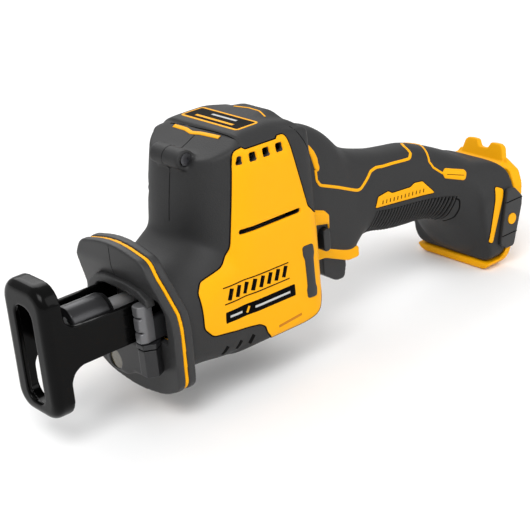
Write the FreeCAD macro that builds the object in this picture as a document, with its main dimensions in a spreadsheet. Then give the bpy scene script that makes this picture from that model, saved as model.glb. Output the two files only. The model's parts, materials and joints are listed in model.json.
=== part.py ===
"""Compact cordless reciprocating saw, bare tool, as a parametric assembly.

Units are millimetres.  -X is the cutting end (shoe), +X the battery foot, +Z up, -Y the
tool's left side.  The origin is the middle of the footprint, at the lowest point.
"""
import FreeCAD, Part
import math
import os

V = FreeCAD.Vector
os.makedirs("parts", exist_ok=True)
doc = FreeCAD.newDocument("reciprocating_saw")

# ---------------------------------------------------------------- driving dimensions
DIMENSIONS = [
    ("top_height", 131.5), ("overmold_wall", 1.8), ("shell_wall", 2.4),
    ("tower_rear", -4.0), ("belly_height", 23.5),
    ("guard_front", -102.0), ("hood_front", -108.4),
    ("guard_layer", 4.4), ("rim_layer", 2.0),
    ("foot_tilt", 17.0), ("foot_half_width", 29.6), ("receiver_depth", 135.3),
    ("receiver_wall", 5.0),
    ("plunger_height", 58.0), ("shaft_radius", 4.5), ("stroke", 16.0),
    ("yoke_half_height", 4.0), ("roller_radius", 5.0),
    ("fit_gap", 0.05), ("free_gap", 0.3),
    ("crank_axis", -53.4), ("motor_axis", -31.0), ("gear_module", 0.7),
    ("pinion_teeth", 12.0), ("crank_teeth", 52.0),
    ("shoe_front", -159.0), ("shoe_plate", 3.0), ("shoe_half_width", 17.5),
    ("shoe_bottom", 19.0), ("shoe_top", 87.0), ("shoe_depth", 10.6), ("shoe_edge", 4.5),
    ("slot_half_width", 7.5), ("slot_bottom", 25.5), ("slot_top", 76.0),
    ("stator_radius", 21.5), ("rotor_radius", 11.5), ("motor_shaft_radius", 2.0),
    ("lever_pin_radius", 1.5),
]
sheet = doc.addObject("Spreadsheet::Sheet", "Dims")
for row, (alias, value) in enumerate(DIMENSIONS, start=1):
    sheet.set("A%d" % row, alias)
    sheet.set("B%d" % row, str(value))
    sheet.setAlias("B%d" % row, alias)
doc.recompute()


def dim(alias):
    """Value of one cell of the sheet."""
    return float(sheet.get(alias))


NODES = []


def node(obj, name):
    """Give a finished sub-part its label and put it on the export list."""
    obj.Label = name
    NODES.append((name, obj))
    return obj


def bind(obj, **expressions):
    """Bind properties to expressions; a double underscore stands for a dot."""
    for prop, text in expressions.items():
        obj.setExpression(prop.replace("__", "."), text)
    return obj


# ---------------------------------------------------------------- outline helpers
def rounded_wire(corners, place):
    """Closed wire through (u, v, radius) corners; place maps (u, v) to a Vector."""
    count = len(corners)
    starts, ends, arcs = [], [], []
    for i, (u, v, radius) in enumerate(corners):
        here = V(u, v, 0)
        before = (V(*corners[i - 1][:2], 0) - here).normalize()
        after = (V(*corners[(i + 1) % count][:2], 0) - here).normalize()
        half = before.getAngle(after) / 2
        if radius <= 0 or abs(half - math.pi / 2) < 1e-6:
            starts.append(here)
            ends.append(here)
            arcs.append(None)
            continue
        reach = radius / math.tan(half)
        middle = (before + after).normalize()
        tip = here + middle * (radius / math.sin(half) - radius)
        starts.append(here + before * reach)
        ends.append(here + after * reach)
        arcs.append(tip)
    edges = []
    for i in range(count):
        begin, finish = place(*starts[i][:2]), place(*ends[i][:2])
        if arcs[i] is not None:
            edges.append(Part.Arc(begin, place(*arcs[i][:2]), finish).toShape())
        following = place(*starts[(i + 1) % count][:2])
        if (following - finish).Length > 1e-6:
            edges.append(Part.makeLine(finish, following))
    return Part.Wire(edges)


def side_face(corners, y=0.0, inset=0.0):
    """Face in the XZ plane from (x, z, radius) corners, shrunk by inset."""
    face = Part.Face(rounded_wire(corners, lambda u, v: V(u, y, v)))
    return face.makeOffset2D(-inset) if inset > 0 else face


def side_prism(corners, y_low, y_high, inset=0.0):
    """Side outline extruded across the tool, from y_low to y_high."""
    return side_face(corners, y_low, inset).extrude(V(0, y_high - y_low, 0))


def front_prism(corners, x_low, x_high, inset=0.0):
    """Front outline of (y, z, radius) corners extruded along the tool."""
    face = Part.Face(rounded_wire(corners, lambda u, v: V(x_low, u, v)))
    if inset > 0:
        face = face.makeOffset2D(-inset)
    return face.extrude(V(x_high - x_low, 0, 0))


def plan_section(z, x_front, x_rear, half, power, r_rear, count=16):
    """Horizontal outline: superellipse nose, straight sides and rounded rear corners."""
    x_mid = x_front + 0.85 * half
    reach = x_mid - x_front
    points = []
    for i in range(count + 1):
        angle = math.pi * (0.5 + i / count)
        c, s = math.cos(angle), math.sin(angle)
        points.append(V(x_mid - reach * abs(c) ** (2 / power),
                        half * math.copysign(abs(s) ** (2 / power), s), z))
    nose = Part.BSplineCurve()
    nose.interpolate(points)
    swing = r_rear * (1 - math.sqrt(0.5))
    left, right = V(x_mid, -half, z), V(x_mid, half, z)
    turn_left = [V(x_rear - r_rear, -half, z), V(x_rear - swing, swing - half, z),
                 V(x_rear, r_rear - half, z)]
    turn_right = [V(x_rear, half - r_rear, z), V(x_rear - swing, half - swing, z),
                  V(x_rear - r_rear, half, z)]
    return Part.Wire([nose.toShape(), Part.makeLine(left, turn_left[0]),
                      Part.Arc(*turn_left).toShape(), Part.makeLine(turn_left[2], turn_right[0]),
                      Part.Arc(*turn_right).toShape(), Part.makeLine(turn_right[2], right)])


def eased(keys, at):
    """Value at a station of a curve through (station, value) keys, without overshoot."""
    for (a, va), (b, vb) in zip(keys, keys[1:]):
        if at <= b:
            break
    index = keys.index((b, vb))

    def slope(i):
        if i <= 0 or i >= len(keys) - 1:
            return 0.0
        before = (keys[i][1] - keys[i - 1][1]) / (keys[i][0] - keys[i - 1][0])
        after = (keys[i + 1][1] - keys[i][1]) / (keys[i + 1][0] - keys[i][0])
        return 0.0 if before * after <= 0 else 2 * before * after / (before + after)

    span = b - a
    u = (at - a) / span
    return ((1 + 2 * u) * (1 - u) ** 2 * va + u * (1 - u) ** 2 * span * slope(index - 1)
            + u * u * (3 - 2 * u) * vb + u * u * (u - 1) * span * slope(index))


def cross_section(x, half, bottom, top, r_top, r_low):
    """Rounded rectangle across the tool at one station x, rounder at the top."""
    corners = [(-half, bottom, r_low), (half, bottom, r_low),
               (half, top, r_top), (-half, top, r_top)]
    return rounded_wire(corners, lambda u, v: V(x, u, v))


def oval_section(x, half, bottom, top, power=2.5, count=16):
    """Superellipse across the tool at one station x, as one closed spline."""
    middle, tall = (bottom + top) / 2, (top - bottom) / 2
    points = []
    for i in range(count):
        angle = 2 * math.pi * i / count
        c, s = math.cos(angle), math.sin(angle)
        points.append(V(x, half * math.copysign(abs(c) ** (2 / power), c),
                        middle + tall * math.copysign(abs(s) ** (2 / power), s)))
    spline = Part.BSplineCurve()
    spline.interpolate(points, PeriodicFlag=True)
    return Part.Wire([spline.toShape()])


def box(x0, x1, y0, y1, z0, z1):
    """Box between two corners."""
    return Part.makeBox(x1 - x0, y1 - y0, z1 - z0, V(x0, y0, z0))


def rod(start, axis, radius, length):
    """Cylinder from a start point along an axis."""
    return Part.makeCylinder(radius, length, V(*start), V(*axis))


def mirrored(shape):
    """The same shape on the other side of the tool."""
    return shape.mirror(V(0, 0, 0), V(0, 1, 0))


def largest(shape):
    """The biggest solid of a shape."""
    return sorted(shape.Solids, key=lambda solid: solid.Volume)[-1]


def feature(name, shape):
    """Sub-part whose shape is worked out from the sheet by Part functions."""
    obj = doc.addObject("Part::Feature", name)
    obj.Shape = shape
    return node(obj, name)


# ---------------------------------------------------------------- PartDesign helpers
def origin_plane(body, role):
    """One of the body's own origin planes."""
    for item in body.Origin.OriginFeatures:
        if item.Role == role:
            return item
    raise ValueError(role)


def disc(body, radius, low, high, plane="XY_Plane", u="0", v="0", cut=False):
    """Round pad or pocket about (u, v) of an origin plane, between two levels."""
    kind = "PartDesign::SubtractiveCylinder" if cut else "PartDesign::AdditiveCylinder"
    step = body.newObject(kind, "Disc")
    step.AttachmentSupport = [(origin_plane(body, plane), "")]
    step.MapMode = "FlatFace"
    bind(step, Radius=radius, Height="(%s) - (%s)" % (high, low), AttachmentOffset__Base__x=u,
         AttachmentOffset__Base__y=v, AttachmentOffset__Base__z=low)
    return step


def turned(name, steps, bores=(), **place):
    """Turned piece: stacked discs, then bores, each (radius, low, high)."""
    body = doc.addObject("PartDesign::Body", name)
    for radius, low, high in steps:
        disc(body, radius, low, high, **place)
    for radius, low, high in bores:
        disc(body, radius, low, high, cut=True, **place)
    return node(body, name)


def pad(body, corners, plane, low, high, cut=False):
    """Pad or pocket of a (u, v, radius) outline between two levels along the normal."""
    sketch = body.newObject("Sketcher::SketchObject", "Outline")
    sketch.AttachmentSupport = [(origin_plane(body, plane), "")]
    sketch.MapMode = "FlatFace"
    for edge in rounded_wire(corners, lambda u, v: V(u, v, 0)).Edges:
        if isinstance(edge.Curve, Part.Line):
            sketch.addGeometry(Part.LineSegment(edge.Vertexes[0].Point,
                                                edge.Vertexes[1].Point), False)
        else:
            sketch.addGeometry(Part.ArcOfCircle(edge.Curve, edge.FirstParameter,
                                                edge.LastParameter), False)
    bind(sketch, AttachmentOffset__Base__z=high if cut else low)
    step = body.newObject("PartDesign::Pocket" if cut else "PartDesign::Pad", "Step")
    step.Profile = sketch
    bind(step, Length="(%s) - (%s)" % (high, low))
    return step


def rectangle(u0, u1, v0, v1, radius=0.5):
    """Corners of a rectangle with rounded corners."""
    return [(u0, v0, radius), (u1, v0, radius), (u1, v1, radius), (u0, v1, radius)]


# ---------------------------------------------------------------- housing envelope
TILT = math.radians(dim("foot_tilt"))


def foot_point(depth, height):
    """Point in the foot's tilted side frame, as (x, z)."""
    return (depth * math.cos(TILT) + height * math.sin(TILT),
            height * math.cos(TILT) - depth * math.sin(TILT))


TOWER_SIDE = [(-44.0, dim("top_height"), 16), (-10.0, dim("top_height"), 5), (-4.3, 124.0, 5),
              (dim("tower_rear"), 96.0, 10), (dim("tower_rear"), dim("belly_height"), 17),
              (-100.0, dim("belly_height"), 2), (-100.0, 104.5, 2)]
TOWER_FRONT_VIEW = [(-35.5, dim("belly_height"), 7), (35.5, dim("belly_height"), 7),
                    (35.5, 118.0, 14), (32.0, 126.6, 6), (24.5, dim("top_height"), 10),
                    (-24.5, dim("top_height"), 10), (-32.0, 126.6, 6), (-35.5, 118.0, 14)]
TOWER_SECTIONS = [(14.0, -77.0, 34.2), (37.0, -76.0, 34.5), (60.0, -74.5, 34.7),
                  (84.0, -72.5, 34.7), (108.0, -69.0, 34.4), (138.0, -64.0, 33.6)]
NOSE_SECTIONS = [(-97.5, 33.0, 20.0, 73.5, 25, 11), (-88.0, 33.4, 21.5, 75.0, 25, 11),
                 (-82.0, 33.8, 22.5, 76.5, 25, 10), (-77.0, 34.0, 23.0, 79.0, 25, 9),
                 (-71.0, 34.2, 23.5, 83.0, 25, 8), (-58.0, 34.2, 24.0, 84.0, 25, 8)]
GRIP_TOP = [(-18, 116.2), (4, 116.2), (15, 114.8), (20, 112.6), (25, 109.2), (29, 105.2),
            (32, 101.8), (35.5, 98.4), (39.5, 95.6), (44.5, 93.0), (50, 90.8), (57, 88.6),
            (67, 86.0), (77, 84.4), (89, 82.6), (101, 78.6), (114, 73.0), (127, 66.4), (136, 61.0)]
GRIP_BOTTOM = [(-18, 48.0), (2, 47.5), (12, 44.5), (22, 39.8), (30, 36.0), (34, 35.0), (38, 36.6),
               (41, 40.2), (44, 43.0), (48, 44.2), (54, 43.4), (62, 41.4), (70, 40.0), (80, 39.0),
               (91, 38.2), (99, 36.0), (107, 31.0), (114, 22.0), (120, 12.0), (127, 6.5), (136, 6.0)]
GRIP_HALF = [(-18, 22.5), (4, 21.8), (26, 19.6), (40, 18.0), (60, 17.4), (84, 17.6), (96, 18.9),
             (106, 21.0), (116, 24.8), (126, 28.4), (136, 29.2)]
FOOT_HALF = dim("foot_half_width")
FOOT_SIDE = [(124.8, 5.0, 3), (137.6, 5.0, 1), foot_point(128.0, 96.0) + (6,),
             foot_point(119.0, 99.5) + (8,), (123.0, 65.0, 8), (120.5, 40.0, 10)]
FOOT_FRONT_VIEW = [(-FOOT_HALF, 5.0, 8), (FOOT_HALF, 5.0, 8), (FOOT_HALF, 47.0, 18),
                   (17.0, 66.5, 11), (-17.0, 66.5, 11), (-FOOT_HALF, 47.0, 18)]


def tower(inset):
    """Motor tower: lofted plan sections trimmed by the side and front outlines."""
    wires = [plan_section(z, x + inset, dim("tower_rear") - inset, half - inset, 2.6, 8)
             for z, x, half in TOWER_SECTIONS]
    body = Part.makeLoft(wires, True)
    body = body.common(side_prism(TOWER_SIDE, -60, 60, inset))
    return body.common(front_prism(TOWER_FRONT_VIEW, -120, 40, inset))


def nose(inset):
    """Nose tunnel that flares from the tower to the guard."""
    wires = [cross_section(x, half - inset, low + inset, top - inset, r_top - inset,
                           r_low - inset) for x, half, low, top, r_top, r_low in NOSE_SECTIONS]
    return Part.makeLoft(wires, True)


def handle(inset):
    """Grip, with the trigger housing in front and the flare to the foot behind."""
    first, last, count = -18.0, 134.0, 32
    wires = []
    for i in range(count):
        x = first + (last - first) * i / (count - 1)
        wires.append(oval_section(x, eased(GRIP_HALF, x) - inset, eased(GRIP_BOTTOM, x) + inset,
                                  eased(GRIP_TOP, x) - inset))
    return Part.makeLoft(wires, True)


def foot(inset):
    """Block behind the grip that carries the battery receiver."""
    block = side_prism(FOOT_SIDE, -60, 60, inset)
    return block.common(front_prism(FOOT_FRONT_VIEW, 90, 170, inset))


def envelope(inset):
    """The whole housing as one solid, shrunk by inset."""
    return tower(inset).fuse([nose(inset), handle(inset), foot(inset)])


# ---------------------------------------------------------------- housing details
BOSS_X, BOSS_Z, BOSS_RADIUS = -66.4, 121.8, 5.6
PANEL = [(-52.0, 126.4, 5), (-22.5, 126.4, 5), (-8.0, 80.0, 8), (-3.0, 75.0, 0.5),
         (-3.0, 20.0, 1), (-43.0, 20.0, 1), (-45.6, 34.5, 4), (-81.5, 39.5, 6),
         (-83.0, 67.5, 5), (-60.0, 75.5, 14)]
TRIGGER_LIP = [(5.0, 51.0, 2), (15.0, 50.2, 4), (32.0, 43.2, 6), (38.6, 42.0, 1.5),
               (38.6, 36.4, 1.5), (31.0, 36.6, 6), (15.0, 43.6, 6), (5.0, 44.4, 2)]
LOCK_TRIM = [(2.5, 76.0, 1), (11.0, 74.5, 2), (13.0, 66.0, 2), (4.5, 64.0, 1)]
FOOT_SLOT = [(133.0, 50.6, 2.2), (138.2, 47.6, 2.2), (126.8, 17.8, 2.2), (120.4, 21.2, 2.2)]
STRIP = [(-18.7, 61.0, 0.8), (-18.7, 66.5, 1.8), (-11.8, 66.5, 1.8), (-11.2, 37.6, 1.8),
         (-17.4, 37.6, 1.8), (-17.4, 61.0, 0.8)]
LABEL = [(-69.5, 49.4, 0.8), (-25.5, 49.4, 0.8), (-25.5, 42.6, 0.8), (-69.5, 42.6, 0.8)]
OPENING = [(-30.0, 43.0, 2), (21.5, 43.0, 2), (21.5, 63.5, 9), (12.0, 71.2, 12),
           (-12.0, 71.2, 12), (-25.0, 67.2, 3), (-30.0, 66.4, 2)]
VENT_STATIONS = [-51.0, -42.8, -34.6, -26.4]
VENT_LOW, VENT_HIGH = 118.6, 122.8
VENT_SLOT = [(-55.5, 87.2, 0.8), (-17.5, 87.2, 0.8), (-17.5, 84.6, 0.8), (-55.5, 84.6, 0.8)]
# each case screw: x, z and the y of its head's seat
CASE_SCREWS = [(-84.0, 29.5, 25.0), (-12.0, 34.0, 25.0), (-62.0, 99.0, 22.0),
               (46.0, 66.0, 10.0), (104.0, 62.0, 13.0)]
BADGE = (-42.0, -28.0, -22.5, 22.5, 130.7, 133.0)
LEVER_X, LEVER_Y = -95.0, -22.5
LED_Y, LED_Z = 7.5, 26.2
LOCK_X, LOCK_Z = 9.2, 57.5
LOCK_OUTLINE = [(-2.4, -6.2, 2.3), (2.4, -6.2, 2.3), (2.4, 6.2, 2.3), (-2.4, 6.2, 2.3)]


def vents():
    """Cooling openings on both sides: four windows and one long slot below them."""
    cuts = []
    for x in VENT_STATIONS:
        cuts.append(box(x - 2.2, x + 2.2, -40, 40, VENT_LOW, VENT_HIGH))
    cuts.append(side_prism(VENT_SLOT, -40, 40))
    return cuts


def screw_cuts():
    """Shank holes and head recesses of the case screws."""
    cuts = [rod((BOSS_X, -14, BOSS_Z), (0, 1, 0), 3.2, 4.0),
            rod((BOSS_X, -14, BOSS_Z), (0, 1, 0), 2.0, 26)]
    for x, z, seat in CASE_SCREWS:
        cuts.append(rod((x, -16, z), (0, 1, 0), 2.0, 60))
        cuts.append(rod((x, seat, z), (0, 1, 0), 3.6, 40))
    return cuts


def screw_posts(middle):
    """Posts inside the shells that the case screws clamp together."""
    posts = [rod((x, -40, z), (0, 1, 0), 4.6, 80) for x, z, seat in CASE_SCREWS]
    return posts[0].fuse(posts[1:]).common(middle)


def build_housing():
    """Left and right shells, their rubber overmolds and the side labels."""
    outer = envelope(0.0)
    middle = envelope(dim("overmold_wall"))
    inner = envelope(dim("overmold_wall") + dim("shell_wall"))
    boss = rod((BOSS_X, -12.5, BOSS_Z), (0, 1, 0), BOSS_RADIUS, 23)
    layer = outer.cut(middle)
    skin = layer.fuse(boss.cut(middle))
    brackets = [box(-97.5, -91.0, -33, -20, low, low + 5).common(middle)
                for low in (38.5, 58.5)]
    wall = middle.cut(inner).fuse([screw_posts(middle)] + brackets)
    panel = side_prism(PANEL, -60, -20)
    yellow = panel.fuse([mirrored(panel), side_prism(LOCK_TRIM, -40, 40),
                         side_prism(FOOT_SLOT, -40, 40)])
    lip = side_prism(TRIGGER_LIP, -13.4, 13.4)
    trigger_slot = side_prism([(16.6, 20.0, 1), (37.2, 20.0, 1), (37.2, 56.0, 1),
                               (16.6, 56.0, 1)], -8.3, 8.3)
    lock = [(LOCK_X + u * 1.12, LOCK_Z + v * 1.05, r) for u, v, r in LOCK_OUTLINE]
    rear_bay = side_prism([(127.5, 12.5, 1), (170.0, 12.5, 1), (170.0, 50.5, 1),
                           (138.5, 50.5, 1)], -20.5, 20.5)
    badge = box(*BADGE)
    pin = rod((LEVER_X, LEVER_Y, 0), (0, 0, 1), dim("lever_pin_radius"), 63)
    cutters = [rear_bay, trigger_slot, side_prism(lock, -40, 40), badge, pin]
    cutters += vents() + screw_cuts()
    body_only = tower(0.5).fuse(nose(0.5))
    label_zone = side_prism(LABEL, -60, 60).common(outer).cut(body_only)
    skin = skin.cut(cutters + [yellow, lip])
    wall = wall.fuse([yellow.common(layer), lip]).cut(cutters + [label_zone])
    for side, low, high in (("left", -60, 0), ("right", 0, 60)):
        half = box(-130, 200, low, high, -10, 160)
        feature(side + "_overmold", skin.common(half))
        feature(side + "_shell", wall.common(half))
        feature(side + "_label", largest(label_zone.common(half)))
    feature("top_badge", badge.common(outer))


def build_case_screws():
    """Six identical case screws: one in the top boss, five from the right side."""
    screws = []
    for x, z, seat, way in [(BOSS_X, BOSS_Z, -10.0, -1)] + [s + (1,) for s in CASE_SCREWS]:
        head = rod((x, seat, z), (0, way, 0), 3.1, 2.4)
        socket = rod((x, seat + way * 1.2, z), (0, way, 0), 1.5, 2)
        shank = rod((x, seat, z), (0, -way, 0), 2.0, 20)
        screws.append(head.fuse(shank).cut(socket))
    feature("case_screws", Part.makeCompound(screws))


# ---------------------------------------------------------------- guard at the nose
GUARD_HALF = [(22.0, 13.4, 40), (34.8, 19.6, 7), (36.2, 50.0, 40), (31.2, 76.5, 20),
              (25.5, 86.0, 9)]
GUARD_OUTLINE = ([(0.0, 10.6, 60)] + GUARD_HALF + [(0.0, 91.2, 70)]
                 + [(-y, z, radius) for y, z, radius in reversed(GUARD_HALF)])


def guard_plate(start, thickness, inset=0.0):
    """Plate across the nose, bent forward at the hood; start is behind the front face."""
    low, hood = dim("guard_front") + start, dim("hood_front") + start
    side = [(low, 5, 0), (low, 58, 16), (hood, 78, 16), (hood, 98, 0),
            (hood + thickness, 98, 0), (hood + thickness, 78, 16), (low + thickness, 58, 16),
            (low + thickness, 5, 0)]
    return side_prism(side, -45, 45).common(front_prism(GUARD_OUTLINE, -130, -60, inset))


def build_guard():
    """Two rubber layers with a yellow rim between them."""
    layer, rim = dim("guard_layer"), dim("rim_layer")
    housing = tower(0.0).fuse(nose(0.0))
    window = front_prism(OPENING, -140, -80)
    led = rod((-140, LED_Y, LED_Z), (1, 0, 0), 5.0, 60)
    for name, start, thickness, inset in (("guard_front", 0, layer, 0.0),
                                          ("guard_rim", layer, rim, 0.5),
                                          ("guard_rear", layer + rim, layer, 0.0)):
        plate = guard_plate(start, thickness, inset).cut([window, led, housing])
        feature(name, largest(plate))


# ---------------------------------------------------------------- shoe
SHOE_WALL = [(-153.0, 30.0, 1), (-153.0, 76.0, 1), (-148.4, 80.0, 1), (-148.0, 65.2, 7),
             (-134.0, 64.2, 8), (-88.0, 64.2, 2), (-88.0, 44.5, 2), (-148.4, 44.5, 9),
             (-148.4, 26.0, 1)]

SHOE_SCREW_X, SHOE_SCREW_Z = -94.0, 60.5


def build_shoe():
    """Formed steel shoe: slotted face and two walls joined by a floor."""
    front, plate, half = dim("shoe_front"), dim("shoe_plate"), dim("shoe_half_width")
    low, high, slot = dim("shoe_bottom"), dim("shoe_top"), dim("slot_half_width")
    depth, edge = dim("shoe_depth"), dim("shoe_edge")
    outline = [(-half, low, 11), (half, low, 11), (half, high, 11), (-half, high, 11)]
    head = front_prism(outline, front, front + depth)
    rolled = [e for e in head.Edges if max(v.X for v in e.Vertexes) < front + 0.01]
    head = head.makeFillet(edge, rolled)
    pocket = front_prism(outline, front + plate, front + depth + 1, plate)
    hole = front_prism([(-slot, dim("slot_bottom"), 6.5), (slot, dim("slot_bottom"), 6.5),
                        (slot, dim("slot_top"), 6.5), (-slot, dim("slot_top"), 6.5)],
                       front - 5, front + plate + 1)
    left = side_prism(SHOE_WALL, -half, plate - half)
    floor = box(-142, -88, -half, half, 44.5, 44.5 + plate)
    shape = head.cut(pocket.fuse(hole)).fuse([left, mirrored(left), floor])
    shape = shape.cut(rod((SHOE_SCREW_X, -30, SHOE_SCREW_Z), (0, 1, 0), 2.0, 60))
    feature("shoe", shape.removeSplitter())
    screws = []
    for way in (-1, 1):
        head = rod((SHOE_SCREW_X, way * half, SHOE_SCREW_Z), (0, way, 0), 3.4, 2.2)
        socket = rod((SHOE_SCREW_X, way * (half + 1.0), SHOE_SCREW_Z), (0, way, 0), 1.5, 2)
        shank = rod((SHOE_SCREW_X, way * half, SHOE_SCREW_Z), (0, -way, 0), 2.0, 8)
        screws.append(head.fuse(shank).cut(socket))
    feature("shoe_screws", Part.makeCompound(screws))


# ---------------------------------------------------------------- foot and receiver
FOOT_PAD = [(138.6, 47.2, 2), (144.6, 46.8, 2.5), (150.8, 40.0, 2), (150.2, 35.0, 2),
            (142.6, 12.0, 2.5), (136.6, 12.0, 2), (131.4, 15.6, 2)]


def tilted(shape):
    """The shape turned from upright into the foot's tilted frame."""
    return shape.rotated(V(0, 0, 0), V(0, 1, 0), dim("foot_tilt"))


def build_receiver():
    """Yellow battery receiver, its terminal block and the terminals."""
    depth, wall = dim("receiver_depth"), dim("receiver_wall")
    side = [(124.6, 0.0, 2), (139.0, 0.0, 4), foot_point(depth, 98.0) + (2.4,),
            foot_point(depth - wall - 2, 101.5) + (2,), foot_point(depth - wall - 4, 100.5) + (0.5,),
            (136.0, 5.0, 0.3), (124.6, 5.0, 1.5)]
    front = [(-FOOT_HALF, 0.0, 10), (FOOT_HALF, 0.0, 10), (FOOT_HALF, 44.0, 17),
             (18.5, 61.5, 9), (-18.5, 61.5, 9), (-FOOT_HALF, 44.0, 17)]
    shape = side_prism(side, -40, 40).common(front_prism(front, 90, 180))
    horns = [(-19.5, 94.0, 0.5), (-15.6, 106.4, 2), (-13.0, 108.2, 2.5), (-6.0, 108.2, 2.5),
             (-3.6, 104.2, 2)]
    horns += [(-y, z, radius) for y, z, radius in reversed(horns)]
    crest = front_prism(horns, 124.5, 133.2)
    window = tilted(box(118, 140, -19.0, 19.0, 56.0, 88.0))
    rails = tilted(box(depth - 2.2, depth + 8, -24.5, 24.5, 30.0, 91.0))
    housing = handle(0.0).fuse(foot(0.0))
    shape = shape.cut(rails).fuse(tilted(crest)).cut([window, housing])
    feature("battery_receiver", largest(shape))
    places = (-13.0, -4.4, 4.4, 13.0)
    block = box(119.0, 131.5, -18.8, 18.8, 56.2, 87.8)
    blades = [box(121.0, 131.0, y - 0.4, y + 0.4, 64.0, 80.0) for y in places]
    slots = [box(124.0, 140.0, y - 2.6, y + 2.6, 60.0, 84.0) for y in places]
    feature("terminal_block", tilted(block.cut(slots + blades)))
    feature("battery_terminals", tilted(Part.makeCompound(blades)))


def build_pads():
    """Rubber pads on the foot, tower sides and belly, with the pads' yellow plugs."""
    for side, sign in (("left", -1), ("right", 1)):
        pad = side_prism(FOOT_PAD, -31.9, -29.7)
        strip = side_prism(STRIP, -36.0, -34.75)
        plug = rod((141.3, -31.1, 28.9), (0, -1, 0), 3.2, 1.1)
        pad = pad.cut(plug)
        shapes = [pad, strip, plug]
        if sign > 0:
            shapes = [mirrored(shape) for shape in shapes]
        feature(side + "_foot_pad", shapes[0])
        feature(side + "_side_strip", shapes[1])
        feature(side + "_pad_plug", shapes[2])


# ---------------------------------------------------------------- drive train
def gear_outline(teeth, low, high):
    """Spur gear blank about the Z axis, with straight flanks and a little backlash."""
    module = dim("gear_module")
    pitch, points = 2 * math.pi / teeth, []
    root, tip = module * (teeth / 2 - 1.2), module * (teeth / 2 + 0.85)
    for i in range(teeth):
        for share, radius in ((-0.34, root), (-0.11, tip), (0.11, tip), (0.34, root)):
            angle = (i + share) * pitch
            points.append(V(radius * math.cos(angle), radius * math.sin(angle), low))
    return Part.Face(Part.makePolygon(points + points[:1])).extrude(V(0, 0, high - low))


def closed_turns(radius, wire, pitch, count):
    """Close-wound spring about the Z axis, drawn as separate closed turns."""
    turns = [Part.makeTorus(radius, wire, V(0, 0, pitch * i), V(0, 0, 1)) for i in range(count)]
    return Part.makeCompound(turns)


def build_gears():
    """Crank gear with its pin and shaft, and the pinion on the motor shaft."""
    crank, motor = dim("crank_axis"), dim("motor_axis")
    gear = gear_outline(int(dim("crank_teeth")), 65, 71)
    pin_height = dim("plunger_height") + dim("shaft_radius") + dim("free_gap")
    gear = gear.fuse([rod((0, dim("stroke") / 2, pin_height), (0, 0, 1), 3, 4),
                      rod((0, 0, 70), (0, 0, 1), 4, 14), rod((0, 0, 70), (0, 0, 1), 6, 5)])
    turns = (math.pi / 6, math.pi * 5 / 6, math.pi * 3 / 2)
    gear = gear.cut([rod((12 * math.cos(a), 12 * math.sin(a), 60), (0, 0, 1), 3.0, 20)
                     for a in turns])
    gear.translate(V(crank, 0, 0))
    feature("crank_gear", gear)
    pinion = gear_outline(int(dim("pinion_teeth")), 65, 73)
    pinion = pinion.rotated(V(0, 0, 0), V(0, 0, 1), 180 + 180 / dim("pinion_teeth"))
    pinion.translate(V(motor, 0, 0))
    feature("pinion", pinion.cut(rod((motor, 0, 60), (0, 0, 1), dim("motor_shaft_radius"), 20)))


def build_plunger():
    """Reciprocating shaft with its yoke, blade slot and clamp pin hole."""
    body = doc.addObject("PartDesign::Body", "plunger")
    level, crank = dim("plunger_height"), dim("crank_axis")
    low, high = level - dim("yoke_half_height"), level + dim("yoke_half_height")
    disc(body, "Dims.shaft_radius", "-136", "-14", plane="YZ_Plane", v="Dims.plunger_height")
    pad(body, rectangle(crank - 10, crank + 10, -17, 17, 2), "XY_Plane", str(low), str(high))
    reach_x = dim("roller_radius") + dim("fit_gap")
    reach_y = dim("stroke") / 2 + reach_x + 0.5
    pad(body, rectangle(crank - reach_x, crank + reach_x, -reach_y, reach_y, reach_x - 0.1),
        "XY_Plane", "40", "80", cut=True)
    pad(body, rectangle(-137, -125, 50, 66), "XZ_Plane", "-0.75", "0.75", cut=True)
    disc(body, "1.5", "50", "66", u="-129", cut=True)
    node(body, "plunger")


def build_drive():
    """Bushings, bearings, motor and clamp, all turned about their own axes."""
    line = {"plane": "YZ_Plane", "v": "Dims.plunger_height"}
    crank, motor = {"u": "Dims.crank_axis"}, {"u": "Dims.motor_axis"}
    shaft = "Dims.shaft_radius + Dims.fit_gap"
    spindle = "Dims.motor_shaft_radius + Dims.fit_gap"
    turned("front_bushing", [("8", "-98", "-88")], [(shaft, "-98", "-88")], **line)
    turned("rear_bushing", [("7.5", "-24.5", "-17.5")], [(shaft, "-24.5", "-17.5")], **line)
    turned("front_seal", [("9.5", "-100.8", "-98")], [(shaft, "-100.8", "-98")], **line)
    turned("crank_bearing", [("9", "77", "82")], [("4 + Dims.fit_gap", "77", "82")], **crank)
    turned("lower_bearing", [("8", "77", "82")], [(spindle, "77", "82")], **motor)
    turned("upper_bearing", [("6.5", "117", "122")], [(spindle, "117", "122")], **motor)
    turned("rotor", [("Dims.motor_shaft_radius", "64.5", "121.5"),
                     ("Dims.rotor_radius", "92", "114")], **motor)
    turned("motor_cap", [("Dims.stator_radius", "114.6", "116.8"), ("9", "114.6", "122.6")],
           [("6.5", "117", "123"), ("5", "114", "118")], **motor)
    turned("yoke_roller", [("Dims.roller_radius", "54.4", "61.6")], [("3", "54", "62")],
           u="Dims.crank_axis", v="Dims.stroke / 2")
    turned("clamp_pin", [("1.5", "54", "62")], u="-129")
    turned("clamp_collar", [("9.4", "-138", "-117"), ("8.6", "-117", "-115")],
           [(shaft, "-138", "-115"), ("7.6", "-123", "-115.8")], **line)


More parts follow.
